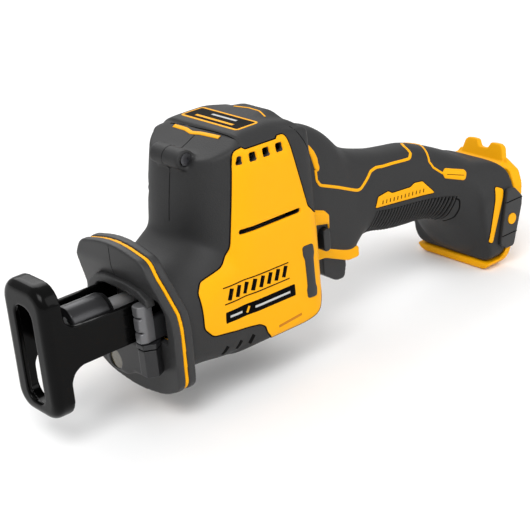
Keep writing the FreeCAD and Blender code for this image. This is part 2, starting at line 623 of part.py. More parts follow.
def build_frames():
    """Blocks that hold the bushings, bearings and motor in the case."""
    shoe_floor = dim("shoe_plate") + 44.5
    block = doc.addObject("PartDesign::Body", "nose_block")
    pad(block, rectangle(-14.3, 14.3, shoe_floor + 0.05, 67.5, 2), "YZ_Plane", "-98", "-88")
    disc(block, "8", "-98", "-88", plane="YZ_Plane", v="Dims.plunger_height", cut=True)
    for level in ("9.4", "-14.4"):
        disc(block, "2", level, level + " + 5", plane="XZ_Plane", u=str(SHOE_SCREW_X),
             v=str(SHOE_SCREW_Z), cut=True)
    node(block, "nose_block")
    block = doc.addObject("PartDesign::Body", "rear_block")
    pad(block, rectangle(-30, 30, 46, 70, 3), "YZ_Plane", "-24.5", "-17.5")
    disc(block, "7.5", "-24.5", "-17.5", plane="YZ_Plane", v="Dims.plunger_height", cut=True)
    node(block, "rear_block")
    case = doc.addObject("PartDesign::Body", "gear_case")
    pad(case, rectangle(-65, -12, -26, 26, 15), "XY_Plane", "77", "82")
    disc(case, "9", "77", "82", u="Dims.crank_axis", cut=True)
    disc(case, "8", "77", "82", u="Dims.motor_axis", cut=True)
    node(case, "gear_case")


def build_motor():
    """Wound stator and cooling fan."""
    motor = dim("motor_axis")
    ring = rod((motor, 0, 92), (0, 0, 1), dim("stator_radius"), 22)
    ring = ring.cut(rod((motor, 0, 90), (0, 0, 1), dim("stator_radius") - 3.5, 30))
    arms, coils = [], []
    for turn in range(0, 360, 60):
        arm = box(12.2, 18.6, -2.2, 2.2, 93, 113).fuse(box(12.0, 13.6, -4.6, 4.6, 93, 113))
        wrap = box(14.0, 17.4, -4.4, 4.4, 92.2, 113.8)
        arms.append(arm.rotated(V(0, 0, 0), V(0, 0, 1), turn))
        coils.append(wrap.rotated(V(0, 0, 0), V(0, 0, 1), turn))
    arms = arms[0].fuse(arms[1:] + coils)
    arms.translate(V(motor, 0, 0))
    bore = rod((motor, 0, 90), (0, 0, 1), 12.0, 30)
    feature("motor_stator", ring.fuse(arms).cut(bore))
    fan = rod((0, 0, 84.2), (0, 0, 1), 19, 1.2).fuse(rod((0, 0, 84.2), (0, 0, 1), 4.5, 6))
    blades = [box(7, 18.5, -0.5, 0.5, 85, 90).rotated(V(0, 0, 0), V(0, 0, 1), turn)
              for turn in range(0, 360, 30)]
    fan = fan.fuse(blades).cut(rod((0, 0, 80), (0, 0, 1), dim("motor_shaft_radius"), 20))
    fan.translate(V(motor, 0, 0))
    feature("fan", fan)


def build_controls():
    """Switch module, trigger, lock-off button and control board."""
    switch = doc.addObject("PartDesign::Body", "switch_module")
    pad(switch, rectangle(14, 38, 60, 88, 2), "XZ_Plane", "-9", "9")
    pad(switch, rectangle(20, 32, 88, 92, 1), "XZ_Plane", "-6", "6")
    node(switch, "switch_module")
    trigger = doc.addObject("PartDesign::Body", "trigger")
    outline = [(18.0, 48.5, 1.5), (34.2, 48.5, 1.5), (34.2, 31.0, 4), (32.6, 24.3, 2.5),
               (26.6, 24.3, 6), (18.0, 30.6, 1.5)]
    pad(trigger, outline, "XZ_Plane", "-8", "8")
    pad(trigger, rectangle(23, 29, 48, 51), "XZ_Plane", "-3", "3")
    node(trigger, "trigger")
    button = doc.addObject("PartDesign::Body", "lock_off_button")
    outline = [(LOCK_X + u, LOCK_Z + v, r) for u, v, r in LOCK_OUTLINE]
    pad(button, outline, "XZ_Plane", "-19.5", "22.6")
    node(button, "lock_off_button")
    board = doc.addObject("PartDesign::Body", "control_board")
    pad(board, rectangle(58, 98, -11, 11, 2), "XY_Plane", "60", "61.6")
    for x, y in ((62, -7), (62, 1), (72, -7), (72, 1), (84, -3)):
        pad(board, rectangle(x, x + 6, y, y + 6), "XY_Plane", "61.6", "64.4")
    node(board, "control_board")


LEVER = [(-104.4, -24.9, 1.2), (-110.0, -25.4, 1.5), (-112.8, -23.8, 1.5), (-112.8, -19.4, 1.5),
         (-110.6, -18.0, 1.2), (-104.4, -18.0, 1.2)]


def build_nose_parts():
    """Blade release lever on its pin, and the work light below it."""
    pivot = {"u": str(LEVER_X), "v": str(LEVER_Y)}
    lever = doc.addObject("PartDesign::Body", "release_lever")
    pad(lever, LEVER, "XY_Plane", "45.4", "64.6")
    disc(lever, "3.3", "45.4", "57.0", **pivot)
    pad(lever, rectangle(-106, LEVER_X, -24.9, -20.1), "XY_Plane", "45.4", "57.0")
    disc(lever, "Dims.lever_pin_radius + Dims.fit_gap", "40", "70", cut=True, **pivot)
    for level in (50.6, 58.2):
        pad(lever, rectangle(-114, -110.8, -30, -10), "XY_Plane", str(level), str(level + 1.0),
            cut=True)
    node(lever, "release_lever")
    turned("lever_pin", [("Dims.lever_pin_radius", "39", "62")], **pivot)
    spring = closed_turns(2.4, 0.3, 0.62, 2)
    spring.translate(V(LEVER_X, LEVER_Y, 44.2))
    feature("lever_spring", spring)
    spring = closed_turns(6.0, 0.6, 1.3, 4).rotated(V(0, 0, 0), V(0, 1, 0), 90)
    spring.translate(V(-121.6, 0, dim("plunger_height")))
    feature("clamp_spring", spring)
    lens = {"plane": "YZ_Plane", "u": str(LED_Y), "v": str(LED_Z)}
    turned("led_lens", [("5", "-107.6", "-101.8")], **lens)
    turned("led_board", [("5", "-101.8", "-100.6")], **lens)
    outline = [(-26.4, 29.5, 3), (-19.0, 21.6, 4), (-6.0, 19.6, 4), (10.0, 19.6, 5),
               (15.6, 24.0, 4), (13.6, 31.0, 4), (0.0, 36.4, 4), (-9.0, 42.6, 3),
               (-26.4, 42.6, 3)]
    light = front_prism(outline, -108.4, dim("guard_front"))
    shade = side_prism([(-112.0, 12, 0), (-104.0, 12, 0), (-108.4, 22, 3), (-108.4, 40.0, 1),
                        (-104.0, 50, 0), (-112.0, 50, 0)], -40, 40)
    feature("led_housing", light.cut([shade, rod((-140, LED_Y, LED_Z), (1, 0, 0), 5.0, 60)]))


build_housing()
build_case_screws()
build_guard()
build_shoe()
build_receiver()
build_pads()
build_gears()
build_plunger()
build_drive()
build_frames()
build_motor()
build_controls()
build_nose_parts()
doc.recompute()


def check_and_export():
    """Refuse failed objects and bad shapes, then write one STEP file per node."""
    doc.recompute()
    for obj in doc.Objects:
        if "Invalid" in obj.State or "Error" in obj.State:
            raise RuntimeError("%s failed: %s" % (obj.Label, obj.State))
    for name, obj in NODES:
        shape = obj.Shape
        if shape.isNull() or not shape.isValid() or not shape.Solids:
            raise RuntimeError("%s has no valid solid" % name)
    for name, obj in NODES:
        obj.Shape.exportStep("parts/%s.step" % name)
        print("%-18s %2d solids %9.0f mm3" % (name, len(obj.Shape.Solids), obj.Shape.Volume))


check_and_export()
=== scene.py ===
"""Compact one-handed reciprocating saw: surfaces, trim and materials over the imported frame.

Metres, in the frame's own axes: -X cutting end, +Z up, -Y the tool's left side. Sizes in the
tables below are millimetres, which MM turns into metres.
"""
import json
import math

import bpy
import numpy as np
from mathutils import Matrix, Vector
from mathutils.bvhtree import BVHTree
from mathutils.geometry import delaunay_2d_cdt


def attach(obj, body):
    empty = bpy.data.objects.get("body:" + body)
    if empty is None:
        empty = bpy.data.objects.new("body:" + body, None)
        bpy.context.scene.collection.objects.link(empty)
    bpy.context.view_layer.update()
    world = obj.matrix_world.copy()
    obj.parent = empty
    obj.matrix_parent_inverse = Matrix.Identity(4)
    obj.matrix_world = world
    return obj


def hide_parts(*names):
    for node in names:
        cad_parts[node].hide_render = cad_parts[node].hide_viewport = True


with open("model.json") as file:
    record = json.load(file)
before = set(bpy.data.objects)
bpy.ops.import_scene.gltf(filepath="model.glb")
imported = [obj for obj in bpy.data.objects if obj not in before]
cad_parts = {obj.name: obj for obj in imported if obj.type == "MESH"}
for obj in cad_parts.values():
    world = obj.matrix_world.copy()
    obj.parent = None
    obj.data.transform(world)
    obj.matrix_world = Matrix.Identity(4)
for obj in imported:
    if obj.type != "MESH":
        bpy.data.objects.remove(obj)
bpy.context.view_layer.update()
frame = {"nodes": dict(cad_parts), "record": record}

MM = 0.001
NODES = frame["nodes"]
LEFT, RIGHT = -1, 1


# ---------------------------------------------------------------- materials
def material(name, color, rough, metallic=0.0, coat=0.0, bump=0.0, grain=0.0, vary=0.06,
             coat_rough=0.1, specular=0.5):
    """Principled material with noise in colour, roughness and bump; grain is in cells per metre."""
    mat = bpy.data.materials.new(name)
    mat.use_nodes = True
    tree = mat.node_tree
    shader = tree.nodes["Principled BSDF"]
    shader.inputs["Metallic"].default_value = metallic
    shader.inputs["Coat Weight"].default_value = coat
    shader.inputs["Coat Roughness"].default_value = coat_rough
    shader.inputs["Specular IOR Level"].default_value = specular
    coords = tree.nodes.new("ShaderNodeTexCoord")
    broad = tree.nodes.new("ShaderNodeTexNoise")
    broad.inputs["Scale"].default_value = 45.0
    broad.inputs["Detail"].default_value = 4.0
    tree.links.new(coords.outputs["Object"], broad.inputs["Vector"])
    tint = tree.nodes.new("ShaderNodeMix")
    tint.data_type = "RGBA"
    dark = [c * (1 - vary) for c in color]
    light = [min(1.0, c * (1 + vary)) for c in color]
    tint.inputs[6].default_value = (*dark, 1)
    tint.inputs[7].default_value = (*light, 1)
    tree.links.new(broad.outputs["Fac"], tint.inputs[0])
    tree.links.new(tint.outputs[2], shader.inputs["Base Color"])
    spread = tree.nodes.new("ShaderNodeMapRange")
    spread.inputs["To Min"].default_value = max(0.02, rough - 0.06)
    spread.inputs["To Max"].default_value = min(1.0, rough + 0.06)
    tree.links.new(broad.outputs["Fac"], spread.inputs["Value"])
    tree.links.new(spread.outputs["Result"], shader.inputs["Roughness"])
    if bump > 0:
        fine = tree.nodes.new("ShaderNodeTexNoise")
        fine.inputs["Scale"].default_value = grain
        fine.inputs["Detail"].default_value = 2.0
        lift = tree.nodes.new("ShaderNodeBump")
        lift.inputs["Strength"].default_value = 1.0
        lift.inputs["Distance"].default_value = bump
        tree.links.new(coords.outputs["Object"], fine.inputs["Vector"])
        tree.links.new(fine.outputs["Fac"], lift.inputs["Height"])
        tree.links.new(lift.outputs["Normal"], shader.inputs["Normal"])
    return mat


MATERIALS = {
    "yellow": material("yellow_plastic", (0.84, 0.372, 0.001), 0.45, bump=0.00002, grain=1400,
                       vary=0.03, specular=0.12),
    # Panel yellow darkened as painted shade, for the flank panels' groove.
    "groove_shade_yellow": material("shaded_yellow", (0.50, 0.17, 0.003), 0.5, bump=0.00002, grain=1400,
                      vary=0.03, specular=0.2),
    "rubber": material("overmold_rubber", (0.017, 0.017, 0.0175), 0.58, bump=0.00010,
                       grain=1300, vary=0.15, specular=0.32),
    "guard": material("guard_rubber", (0.021, 0.021, 0.0215), 0.48, bump=0.00002, grain=1500,
                      vary=0.10, specular=0.36),
    # Near-black painted shade, drawn into seams, gaps, grooves and parting lines.
    "crevice_shade": material("seam_shadow", (0.002, 0.002, 0.002), 0.9, vary=0.2, specular=0.1),
    "gloss": material("label_black", (0.001, 0.001, 0.001), 0.5, bump=0.00001, grain=900,
                      specular=0.03),
    "print": material("light_print", (0.46, 0.46, 0.45), 0.5, bump=0.00001, grain=900),
    "shoe": material("black_coated_steel", (0.001, 0.001, 0.001), 0.18, bump=0.00004,
                     grain=160, specular=0.1),
    "steel": material("ground_steel", (0.70, 0.70, 0.71), 0.34, metallic=0.8, bump=0.00001,
                      grain=900),
    "screw": material("oiled_steel", (0.16, 0.16, 0.17), 0.36, metallic=1.0, bump=0.00001,
                      grain=900),
    "collar": material("black_oxide", (0.045, 0.045, 0.047), 0.3, metallic=0.9, bump=0.00002,
                       grain=700),
    "lever": material("grey_lever", (0.13, 0.13, 0.135), 0.36, metallic=0.4, bump=0.00003,
                      grain=800),
    "dark": material("dark_plastic", (0.012, 0.012, 0.013), 0.42, bump=0.00002, grain=1200,
                     specular=0.4),
    "aluminium": material("cast_aluminium", (0.62, 0.62, 0.64), 0.42, metallic=1.0,
                          bump=0.00003, grain=900),
    "bronze": material("sintered_bronze", (0.60, 0.42, 0.20), 0.4, metallic=1.0, bump=0.00002,
                       grain=900),
    "copper": material("copper_winding", (0.62, 0.28, 0.14), 0.35, metallic=1.0, bump=0.00004,
                       grain=1500),
    "board": material("solder_mask", (0.02, 0.12, 0.05), 0.35, bump=0.00002, grain=900),
    "brass": material("plated_brass", (0.80, 0.62, 0.30), 0.3, metallic=1.0, bump=0.00001,
                      grain=900),
    "led": material("led_lens", (0.10, 0.085, 0.05), 0.10, coat=0.6, bump=0.00002, grain=500),
}


# ---------------------------------------------------------------- meshes
def new_object(name, verts, faces, mat, body, smooth=True):
    """Mesh object that rides on a CAD body."""
    mesh = bpy.data.meshes.new(name)
    mesh.from_pydata([tuple(v) for v in verts], [], [tuple(f) for f in faces])
    mesh.update()
    obj = bpy.data.objects.new(name, mesh)
    bpy.context.scene.collection.objects.link(obj)
    mesh.materials.append(MATERIALS[mat])
    mesh.polygons.foreach_set("use_smooth", [smooth] * len(mesh.polygons))
    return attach(obj, body)


def merged(names):
    """Vertices and faces of several CAD nodes in one list."""
    verts, faces = [], []
    for name in names:
        mesh = NODES[name].data
        start = len(verts)
        verts += [tuple(v.co) for v in mesh.vertices]
        faces += [[start + i for i in p.vertices] for p in mesh.polygons]
    return verts, faces


def voxel_mesh(verts, faces, size):
    """Even quad mesh over the union of closed meshes, as vertex and face arrays."""
    mesh = bpy.data.meshes.new("scratch")
    mesh.from_pydata(verts, [], faces)
    obj = bpy.data.objects.new("scratch", mesh)
    bpy.context.scene.collection.objects.link(obj)
    step = obj.modifiers.new("Remesh", "REMESH")
    step.mode = "VOXEL"
    step.voxel_size = size
    step.adaptivity = 0.0
    result = obj.evaluated_get(bpy.context.evaluated_depsgraph_get()).to_mesh()
    points = np.empty(len(result.vertices) * 3)
    result.vertices.foreach_get("co", points)
    quads = [tuple(p.vertices) for p in result.polygons]
    edges = np.empty(len(result.edges) * 2, int)
    result.edges.foreach_get("vertices", edges)
    bpy.data.objects.remove(obj)
    bpy.data.meshes.remove(mesh)
    return points.reshape(-1, 3), quads, edges.reshape(-1, 2)


def relax(points, edges, rounds, weight=None):
    """Laplacian smoothing; weight (per vertex, 0 to 1) limits where it acts."""
    a, b = edges[:, 0], edges[:, 1]
    count = np.bincount(a, minlength=len(points)) + np.bincount(b, minlength=len(points))
    strength = 0.5 if weight is None else 0.5 * weight[:, None]
    for _ in range(rounds):
        total = np.empty_like(points)
        for k in range(3):
            total[:, k] = (np.bincount(a, points[b, k], len(points))
                           + np.bincount(b, points[a, k], len(points)))
        points = points + strength * (total / count[:, None] - points)
    return points


def soft_solid(name, verts, faces, mat, body, size, rounds):
    """Piece over closed meshes, with evenly rounded edges; size is its mesh's step in mm."""
    points, quads, edges = voxel_mesh(verts, faces, size * MM)
    return new_object(name, relax(points, edges, rounds), quads, mat, body)


def softened(name, nodes, mat, body, size, rounds):
    """Copy of CAD nodes with evenly rounded edges; it stands for them."""
    obj = soft_solid(name, *merged(nodes), mat, body, size, rounds)
    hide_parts(*nodes)
    for node in nodes:
        NODES[node].hide_render = True
    return obj


def fade(values, low, high):
    """Smooth step from 0 at low to 1 at high."""
    t = np.clip((values - low) / (high - low), 0, 1)
    return t * t * (3 - 2 * t)


def band(values, rise, fall):
    """Fades in over one (low, high) stretch and out over another."""
    return fade(values, *rise) * (1 - fade(values, *fall))


def reshape(obj, move):
    """Pass every vertex of an object, as (x, y, z) in millimetres, through move."""
    for vertex in obj.data.vertices:
        vertex.co = Vector(move(*(vertex.co / MM))) * MM


# ---------------------------------------------------------------- outlines and paths
def rounded(corners, segments=6, closed=True):
    """Points of an outline or open line through (u, v, radius) corners, in millimetres."""
    points, count = [], len(corners)
    for i, (u, v, radius) in enumerate(corners):
        here = Vector((u, v))
        if not closed and i in (0, count - 1):
            points.append(here)
            continue
        before = Vector(corners[i - 1][:2]) - here
        after = Vector(corners[(i + 1) % count][:2]) - here
        reach_limit = min(before.length, after.length) * 0.49
        before.normalize()
        after.normalize()
        half = before.angle(after) / 2
        reach = min(radius / math.tan(half), reach_limit) if half < 1.57 else 0.0
        if reach < 0.05:
            points.append(here)
            continue
        start, end = here + before * reach, here + after * reach
        for k in range(segments + 1):
            t = k / segments
            points.append(start * (1 - t) ** 2 + here * 2 * t * (1 - t) + end * t * t)
    return points


def resampled(points, spacing, closed=True):
    """Points at an even spacing along a line, keeping its corners' shape."""
    points = [Vector(p) for p in points]
    if closed:
        points.append(points[0])
    lengths = [0.0]
    for a, b in zip(points, points[1:]):
        lengths.append(lengths[-1] + (b - a).length)
    count = max(3, round(lengths[-1] / spacing))
    out, j = [], 0
    for i in range(count if closed else count + 1):
        target = lengths[-1] * i / count
        while j < len(lengths) - 2 and lengths[j + 1] < target:
            j += 1
        share = (target - lengths[j]) / max(1e-9, lengths[j + 1] - lengths[j])
        out.append(points[j].lerp(points[j + 1], min(1.0, share)))
    return out


def inward(points, distance):
    """The closed outline moved inward by a distance."""
    area = sum(a.x * b.y - b.x * a.y for a, b in zip(points, points[1:] + points[:1]))
    turn = 1 if area > 0 else -1
    out = []
    for i, p in enumerate(points):
        along = (points[(i + 1) % len(points)] - points[i - 1]).normalized()
        out.append(p + Vector((-along.y, along.x)) * distance * turn)
    return out


def inside(point, outline):
    """Even-odd test of a point against a closed outline."""
    hit = False
    for a, b in zip(outline, outline[1:] + outline[:1]):
        if (a.y > point.y) != (b.y > point.y):
            if point.x < (b.x - a.x) * (point.y - a.y) / (b.y - a.y) + a.x:
                hit = not hit
    return hit


RINGS = (0.0, 0.25, 0.7)  # distances from a panel's edge where its height is set


def filled(outline, holes, grid):
    """Triangles over an outline with holes: (points, distances from the edge, faces)."""
    points, depth, edges = [], [], []
    for loop, way in [(outline, 1)] + [(hole, -1) for hole in holes]:
        for distance in RINGS:
            ring = inward(loop, distance * way)
            start = len(points)
            points += ring
            depth += [distance] * len(ring)
            edges += [(start + i, start + (i + 1) % len(ring)) for i in range(len(ring))]
    low = Vector((min(p.x for p in outline), min(p.y for p in outline)))
    high = Vector((max(p.x for p in outline), max(p.y for p in outline)))
    inner = inward(outline, RINGS[-1] + grid * 0.4)
    outer = [inward(hole, -RINGS[-1] - grid * 0.4) for hole in holes]
    for i in range(1, int((high.x - low.x) / grid) + 1):
        for j in range(1, int((high.y - low.y) / grid) + 1):
            p = Vector((low.x + i * grid, low.y + j * grid))
            if inside(p, inner) and not any(inside(p, hole) for hole in outer):
                points.append(p)
                depth.append(RINGS[-1])
    flat, _, faces, origins, _, _ = delaunay_2d_cdt(points, edges, [], 0, 1e-4)
    kept = []
    for face in faces:
        middle = sum((flat[i] for i in face), Vector((0, 0))) / len(face)
        if inside(middle, outline) and not any(inside(middle, hole) for hole in holes):
            kept.append(face)
    return flat, [max(depth[i] for i in group) if group else RINGS[-1] for group in origins], kept


# ---------------------------------------------------------------- the housing's outer surface
HOUSING = ["left_overmold", "right_overmold", "left_shell", "right_shell", "left_label",
           "right_label", "top_badge"]
CASE_STEP = 0.8
CHIN_LIFT, CROWN_DROP, STEP_DROP = 3.0, 3.0, 0.9


def housing_surface():
    """Even mesh of the whole case, with soft edges, blended joints and a crowned, stepped roof."""
    points, quads, edges = voxel_mesh(*merged(HOUSING), CASE_STEP * MM)
    points = relax(points, edges, 6)
    x, y, z = (points / MM).T
    off = np.abs(y)
    nose_root = band(x, (-96.0, -88.0), (-66.0, -60.0)) * band(z, (60.0, 72.0), (90.0, 102.0))
    roof_edge = band(x, (-63.0, -56.0), (-2.0, 6.0)) * fade(z, 108.0, 118.0)
    foot_flare = fade(x, 92.0, 100.0)
    nose_joint = band(x, (-66.0, -60.0), (-54.0, -48.0)) * band(z, (28.0, 34.0), (68.0, 76.0))
    foot_corner = fade(x, 118.0, 126.0) * fade(z, 42.0, 52.0) * fade(off, 10.0, 18.0)
    for rounds, where in ((40, nose_root), (16, roof_edge), (20, foot_flare),
                          (40, nose_joint), (70, foot_corner)):
        points = relax(points, edges, rounds, where)
    shoulder = fade(off, 8.0, 20.0) * (1 - 0.6 * fade(off, 27.0, 33.0))
    crown = shoulder * band(x, (-27.5, -8.0), (0.0, 6.0)) * fade(z, 112.0, 124.0)
    chin = fade(-x, 62.0, 92.0) * (1 - fade(z, 26.0, 40.0))
    roof_front = (1 - fade(x, -46.8, -45.9)) * fade(z, 116.0, 126.0)
    points[:, 2] += (CHIN_LIFT * chin - CROWN_DROP * crown - STEP_DROP * roof_front) * MM
    return points, quads


SURFACE, QUADS = housing_surface()
TREE = BVHTree.FromPolygons([Vector(p) for p in SURFACE], QUADS)


def build_skins():
    """Black rubber skins, left and right, split at the middle plane."""
    points = SURFACE.copy()
    points[np.abs(points[:, 1]) < 0.4 * MM, 1] = 0.0
    for side, name in ((LEFT, "left"), (RIGHT, "right")):
        faces = [q for q in QUADS if side * sum(points[i, 1] for i in q) > 0]
        used = sorted({i for q in faces for i in q})
        index = {old: new for new, old in enumerate(used)}
        obj = new_object(name + "_skin", points[used], [[index[i] for i in q] for q in faces],
                         "rubber", "housing")
        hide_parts(name + "_overmold")
        NODES[name + "_overmold"].hide_render = True


def cast(origin, direction, tree=None):
    """First point of a surface along a ray, with its outward normal."""
    tree = tree or TREE
    point, normal, _, _ = tree.ray_cast(Vector(origin), Vector(direction))
    if point is None:
        return None, None
    return point, normal if normal.dot(Vector(direction)) < 0 else -normal


def from_side(side):
    """Projector of (x, z) in millimetres onto one flank; past its outline, the nearest point."""
    def place(u, v):
        point, normal = cast((u * MM, side * 0.09, v * MM), (0, -side, 0))
        if point is None or side * point.y < 5 * MM:
            point, normal, _, _ = TREE.find_nearest(Vector((u, side * 26.0, v)) * MM)
        return point, normal
    return place


def bridged(place, zones):
    """Projector that spans openings: each zone (u0, u1, v0, v1) is crossed along v."""
    def across(u, v):
        for u0, u1, v0, v1 in zones:
            if u0 <= u <= u1 and v0 <= v <= v1:
                (low, low_normal), (high, high_normal) = place(u, v0), place(u, v1)
                share = (v - v0) / (v1 - v0)
                return low.lerp(high, share), low_normal.lerp(high_normal, share)
        return place(u, v)
    return across


def from_top(u, v):
    """Projector of (x, y) in millimetres onto the top."""
    return cast((u * MM, v * MM, 0.2), (0, 0, -1))


def grip_middle(x):
    """Height of the grip's middle line at x, in millimetres."""
    return 76 - 0.22 * x if x < 60 else 62.8 - 0.10 * (x - 60)


def from_round(side):
    """Projector of (x, angle) onto the grip: angle in degrees above the middle line."""
    def place(u, v):
        out = Vector((0, side * math.cos(math.radians(v)), math.sin(math.radians(v))))
        middle = Vector((u * MM, 0, grip_middle(u) * MM))
        return cast(middle + out * 0.08, -out)
    return place


def steady_normal(place, u, v, reach=0.7):
    """Normal at (u, v) averaged over its neighbourhood."""
    total = Vector((0, 0, 0))
    for du, dv in ((0, 0), (reach, 0), (-reach, 0), (0, reach), (0, -reach)):
        _, normal = place(u + du, v + dv)
        if normal is not None:
            total += normal
    return total.normalized()


def patch(name, corners, place, mat, height=0.35, holes=(), grid=2.2, sink=0.7, spacing=0.9,
          crevice_shade=0.0, body="housing"):
    """Raised panel with a rounded edge, laid over the case's surface; optional painted shade round
    it.
    """
    outline = resampled(rounded(corners), spacing)
    loops = [resampled(rounded(hole, 4), 0.7) for hole in holes]
    flat, depth, faces = filled(outline, loops, grid)
    lift = dict(zip(RINGS, (-sink, height * 0.72, height)))
    verts = []
    for p, d in zip(flat, depth):
        point, _ = place(p.x, p.y)
        normal = steady_normal(place, p.x, p.y)
        verts.append(point + normal * lift[d] * MM if point is not None else None)
    known = [v for v in verts if v is not None]
    middle = sum(known, Vector((0, 0, 0))) / len(known)
    verts = [v if v is not None else middle for v in verts]
    obj = new_object(name, verts, faces, mat, body)
    # Painted shade: a near-black bead in the gap round the panel.
    if crevice_shade > 0:
        ring = [place(p.x, p.y)[0] for p in outline]
        tube(name + "_seam", [p for p in ring if p is not None], crevice_shade, "crevice_shade", body)
    return obj


def tube(name, path, radius, mat, body, closed=True, sides=6):
    """Round bead along a path of points in metres."""
    verts, faces, count = [], [], len(path)
    for i, p in enumerate(path):
        after = path[(i + 1) % count] if closed or i < count - 1 else p
        before = path[i - 1] if closed or i > 0 else p
        along = (after - before).normalized()
        side = along.cross(Vector((0, 0, 1)))
        if side.length < 0.1:
            side = along.cross(Vector((1, 0, 0)))
        side.normalize()
        up = side.cross(along)
        for k in range(sides):
            a = 2 * math.pi * k / sides
            verts.append(p + (side * math.cos(a) + up * math.sin(a)) * radius * MM)
    for i in range(count if closed else count - 1):
        for k in range(sides):
            j, m = (i + 1) % count, (k + 1) % sides
            faces.append((i * sides + k, i * sides + m, j * sides + m, j * sides + k))
    return new_object(name, verts, faces, mat, body)


def line_mesh(knots, place, width, height, closed, spacing, soft):
    """Vertices and faces of one raised line along (u, v) knots."""
    corners = [(u, v, soft) for u, v in knots]
    spine = []
    for p in resampled(rounded(corners, closed=closed), spacing, closed):
        point, _ = place(p.x, p.y)
        if point is not None:
            spine.append((point, steady_normal(place, p.x, p.y)))
    profile = [(-0.5, -0.5), (-0.46, height * 0.55), (-0.32, height), (0.32, height),
               (0.46, height * 0.55), (0.5, -0.5)]
    verts, faces, count, n = [], [], len(spine), len(profile)
    for i, (point, normal) in enumerate(spine):
        after = spine[(i + 1) % count][0] if closed or i < count - 1 else point
        before = spine[i - 1][0] if closed or i > 0 else point
        side = (after - before).normalized().cross(normal).normalized()
        verts += [point + (side * across * width + normal * up) * MM for across, up in profile]
    for i in range(count if closed else count - 1):
        j = (i + 1) % count
        faces += [(i * n + k, i * n + k + 1, j * n + k + 1, j * n + k) for k in range(n - 1)]
    if not closed:
        faces += [tuple(range(n)), tuple(range((count - 1) * n, count * n))[::-1]]
    return verts, faces


def stroke(name, lines, place, width, mat, height=0.35, closed=False, body="housing",
           spacing=0.8, soft=1.6):
    """Raised lines of constant width on the case's surface, in one object."""
    verts, faces = [], []
    for knots in lines:
        points, quads = line_mesh(knots, place, width, height, closed, spacing, soft)
        faces += [[len(verts) + i for i in quad] for quad in quads]
        verts += points
    return new_object(name, verts, faces, mat, body)


# ---------------------------------------------------------------- flank panels and trim
PANEL = [(-54.4, 118.0, 8), (-52.8, 125.6, 3.5), (-47.2, 126.3, 0.6), (-46.6, 125.3, 0.5),
         (-27.2, 125.1, 0.5), (-26.4, 126.2, 0.8), (-21.4, 126.2, 4), (-12.6, 86.6, 3),
         (-8.6, 82.0, 2), (-4.7, 80.0, 2), (-4.7, 40.0, 8), (-9.5, 28.0, 8), (-20.0, 25.2, 6),
         (-42.4, 25.2, 1), (-45.2, 29.5, 3), (-46.2, 33.2, 2), (-49.5, 35.6, 4),
         (-78.0, 39.6, 5), (-82.6, 45.0, 5), (-82.2, 63.0, 5), (-79.0, 67.4, 4),
         (-66.5, 71.8, 10), (-60.6, 79.0, 9), (-58.6, 92.0, 20)]
VENT_STATIONS = (-51.0, -42.8, -34.6, -26.4)
VENT_HEIGHT, VENT_HALF = 120.7, 2.1
VENT_BRIDGE = (3.2, 117.4, 124.2)  # half width, and the heights between which it is crossed
VENT_SLOT = (-36.5, 85.9)
SLOT_HALF = (18.9, 1.2)
SLOT_BRIDGE = (20.4, 2.7)
FRONT_VENT = [(-52.3, 118.7, 0.5), (-49.0, 118.7, 0.5), (-49.0, 122.6, 0.5), (-50.8, 122.6, 0.5)]
LABEL = [(-69.7, 49.5, 0.8), (-25.2, 49.2, 0.8), (-25.1, 42.5, 0.8), (-70.1, 43.1, 0.8)]
FRAME_LINES = [[(-69.5, 62.0), (-28.5, 61.6)], [(-69.5, 53.5), (-28.5, 53.1)]]
SIDE_STRIP = [(-18.9, 66.8, 1.8), (-11.6, 66.6, 1.8), (-11.2, 61.5, 1.2), (-11.9, 58.5, 1),
              (-11.7, 44.5, 1), (-11.0, 42.0, 1.2), (-11.4, 37.4, 1.8), (-17.6, 37.8, 1.8),
              (-18.0, 42.5, 1.2), (-17.4, 45.0, 1), (-17.8, 59.0, 1), (-18.8, 61.8, 1.2)]
REAR_SEAM = [(-14.5, 127.0), (-11.7, 121.2), (-8.6, 115.6), (-6.2, 108.0), (-5.0, 101.0)]


def window(x, z, wide, tall, radius=0.9):
    """Corners of a rounded rectangle about (x, z); wide and tall are its half sizes."""
    return [(x - wide, z - tall, radius), (x + wide, z - tall, radius),
            (x + wide, z + tall, radius), (x - wide, z + tall, radius)]


def replaced(node):
    """The object stands for one CAD node, which stays out of the pictures."""
    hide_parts(node)
    NODES[node].hide_render = True


